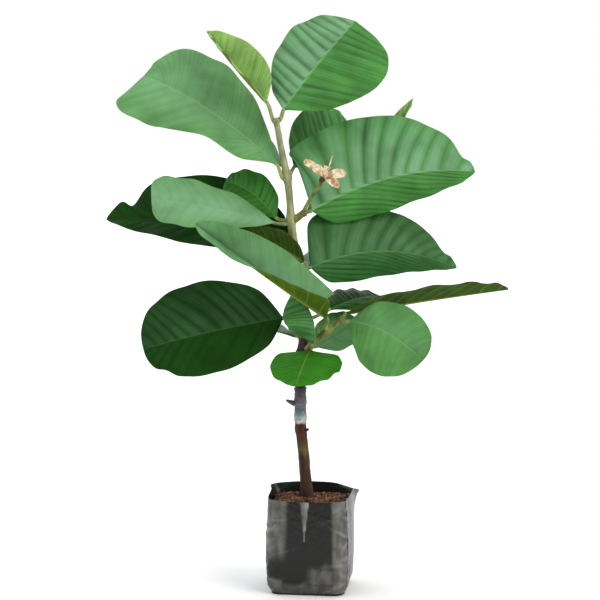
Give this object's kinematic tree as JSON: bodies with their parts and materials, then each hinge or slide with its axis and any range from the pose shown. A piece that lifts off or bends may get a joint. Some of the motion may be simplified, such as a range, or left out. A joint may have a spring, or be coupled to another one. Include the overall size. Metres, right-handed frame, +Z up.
{
  "type": "young grafted guava tree in a grow bag",
  "caption": "Young grafted guava tree with large paired leaves and one withered flower, standing in a soft black nursery grow bag filled with soil.",
  "frame": {"origin": "centre of the grow bag's flat underside", "axes": "+Z up along the tree, -Y towards the front of the tree, +X to the right as seen from the front"},
  "size_m": [0.3464, 0.1976, 0.4926],
  "materials": {
    "bag_film": "thin creased black polythene film",
    "potting_soil": "loose dark brown soil",
    "bark": "young brown bark with fine cracks",
    "graft_film": "weathered grey grafting film",
    "green_stem": "smooth olive green young stem",
    "dry_petal": "withered papery petals",
    "leaf": "satin green leaf with sunken veins"
  },
  "bodies": {
    "root": {"grow_bag": "bag_film", "soil": "potting_soil", "trunk": "bark", "graft_wrap": "graft_film", "pruned_stub": "bark", "main_stem": "green_stem", "bearing_twig": "green_stem", "low_branch": "green_stem", "flower_stalk": "green_stem", "dried_flower": "dry_petal", "leaf_top_right": "leaf", "leaf_top_left": "leaf", "leaf_left_big": "leaf", "leaf_right_back": "leaf", "leaf_right_big": "leaf", "leaf_left_mid": "leaf", "leaf_left_back": "leaf", "leaf_far_left": "leaf", "leaf_right_mid": "leaf", "leaf_left_under": "leaf", "leaf_front_arch": "leaf", "leaf_low_left": "leaf", "leaf_centre_small": "leaf", "leaf_low_mid_back": "leaf", "leaf_low_right": "leaf", "leaf_right_edge": "leaf", "leaf_back_dark": "leaf", "leaf_front_low": "leaf", "leaf_rear_upper": "leaf", "leaf_rear_right": "leaf", "leaf_rear_mid_left": "leaf", "leaf_rear_mid_right": "leaf", "leaf_rear_low_left": "leaf", "leaf_rear_low_right": "leaf"}
  },
  "joints": []
}
